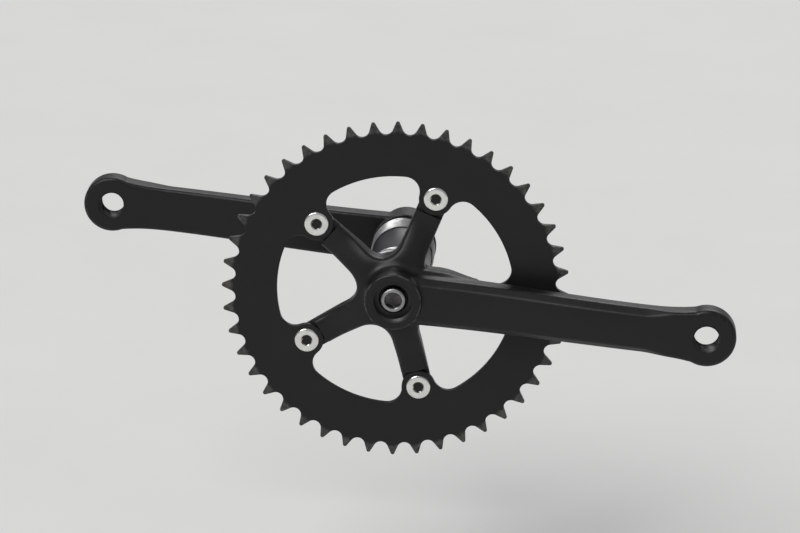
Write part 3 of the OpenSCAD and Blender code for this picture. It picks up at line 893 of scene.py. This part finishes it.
def matt(name, colour, tint, rough, scale, bump):
    """Rubber, nylon or paint with a fine texture."""
    s = Shade(name)
    cloud, grain = s.noise(70, 3), s.noise(scale, 3)
    s.set("Base Color", s.mix(cloud, colour, tint))
    s.set("Roughness", s.span(grain, 0.3, 0.7, rough - 0.06, rough + 0.08))
    s.bump(grain, bump, 0.0001)
    return s.material


def dress(node, material):
    """Gives a carried-over CAD node its finished material."""
    o = frame["nodes"][node]
    for mat_slot in o.material_slots:
        mat_slot.material = material
    if not o.material_slots:
        o.data.materials.append(material)


# ---------------------------------------------------------------- stage


def make_stage():
    """Pale floor, soft lights and a camera at the reference direction."""
    reach, room = 4, 6
    floor_z = -(ARM_LEN + EYE_R + room) * MM
    corners = [(x * reach, y * reach, floor_z) for x, y in ((-1, -1), (1, -1), (1, 1), (-1, 1))]
    mesh = mesh_from("floor", corners, [(0, 1, 2, 3)])
    s = Shade("pale_floor", Roughness=0.85)
    s.set("Base Color", s.mix(s.noise(9, 4), (0.68, 0.675, 0.66), (0.72, 0.715, 0.70)))
    mesh.materials.append(s.material)
    floor = bpy.data.objects.new("floor", mesh)
    bpy.context.scene.collection.objects.link(floor)

    world = bpy.data.worlds.new("studio")
    world.use_nodes = True
    world.node_tree.nodes["Background"].inputs["Color"].default_value = (0.9, 0.92, 0.95, 1)
    world.node_tree.nodes["Background"].inputs["Strength"].default_value = 0.32
    bpy.context.scene.world = world
    bpy.context.scene.view_settings.view_transform = "Standard"
    lamps = (("key", (-0.9, -1.3, 1.6), 34, 1.9), ("rim", (0.3, 1.5, 1.5), 40, 1.1))
    for name, place, angle, power in lamps:
        lamp = bpy.data.lights.new(name, "SUN")
        lamp.angle, lamp.energy = math.radians(angle), power
        o = bpy.data.objects.new(name, lamp)
        o.location = place
        o.rotation_euler = (-Vector(place)).to_track_quat("-Z", "Y").to_euler()
        bpy.context.scene.collection.objects.link(o)

    azimuth, elevation, distance = math.radians(3.4), math.radians(17), 2.1
    low, high = CAD_BOX
    target = (low + high) / 2
    level = math.cos(elevation)
    back = Vector((math.sin(azimuth) * level, -math.cos(azimuth) * level, math.sin(elevation)))
    data = bpy.data.cameras.new("camera")
    data.lens = 175
    camera = bpy.data.objects.new("camera", data)
    camera.location = target + back * distance
    camera.rotation_euler = (-back).to_track_quat("-Z", "Y").to_euler()
    bpy.context.scene.collection.objects.link(camera)
    bpy.context.scene.camera = camera


# ---------------------------------------------------------------- assembly

make_stage()
make_arms(forged_black())
make_chainring(machined_black())
make_fasteners(
    metal("bright_plate", (0.83, 0.83, 0.81), (0.66, 0.65, 0.62), 0.14, 900),
    # Crank bolts: painted shade inside the 4.3 mm radius of their hex socket.
    metal("bolt_zinc", (0.38, 0.375, 0.38), (0.24, 0.235, 0.23), 0.36, 900, socket_shade_r=0.0043),
    metal("washer_oxide", (0.03, 0.03, 0.03), (0.05, 0.048, 0.045), 0.42, 1100),
)
make_bracket(
    metal("cup_nickel", (0.33, 0.33, 0.33), (0.22, 0.21, 0.2), 0.34, 900),
    matt("tube_paint", (0.02, 0.02, 0.022), (0.028, 0.028, 0.03), 0.4, 1400, 0.2),
)
dress("spindle", metal("ground_steel", (0.55, 0.55, 0.56), (0.42, 0.41, 0.4), 0.24, 700, (3, 0.15, 3)))
race_steel = metal("race_steel", (0.68, 0.68, 0.7), (0.55, 0.55, 0.55), 0.18, 900)
ball_steel = metal("ball_steel", (0.82, 0.82, 0.84), (0.74, 0.74, 0.76), 0.07, 900, bump=0.05)
cage_nylon = matt("cage_nylon", (0.42, 0.30, 0.12), (0.36, 0.25, 0.1), 0.45, 1200, 0.2)
seal_rubber = matt("seal_rubber", (0.012, 0.012, 0.012), (0.018, 0.018, 0.018), 0.6, 1600, 0.35)
for word in ("right", "left"):
    dress(f"{word}_inner_race", race_steel)
    dress(f"{word}_outer_race", race_steel)
    dress(f"{word}_bearing_balls", ball_steel)
    dress(f"{word}_ball_cage", cage_nylon)
    dress(f"{word}_bearing_seals", seal_rubber)
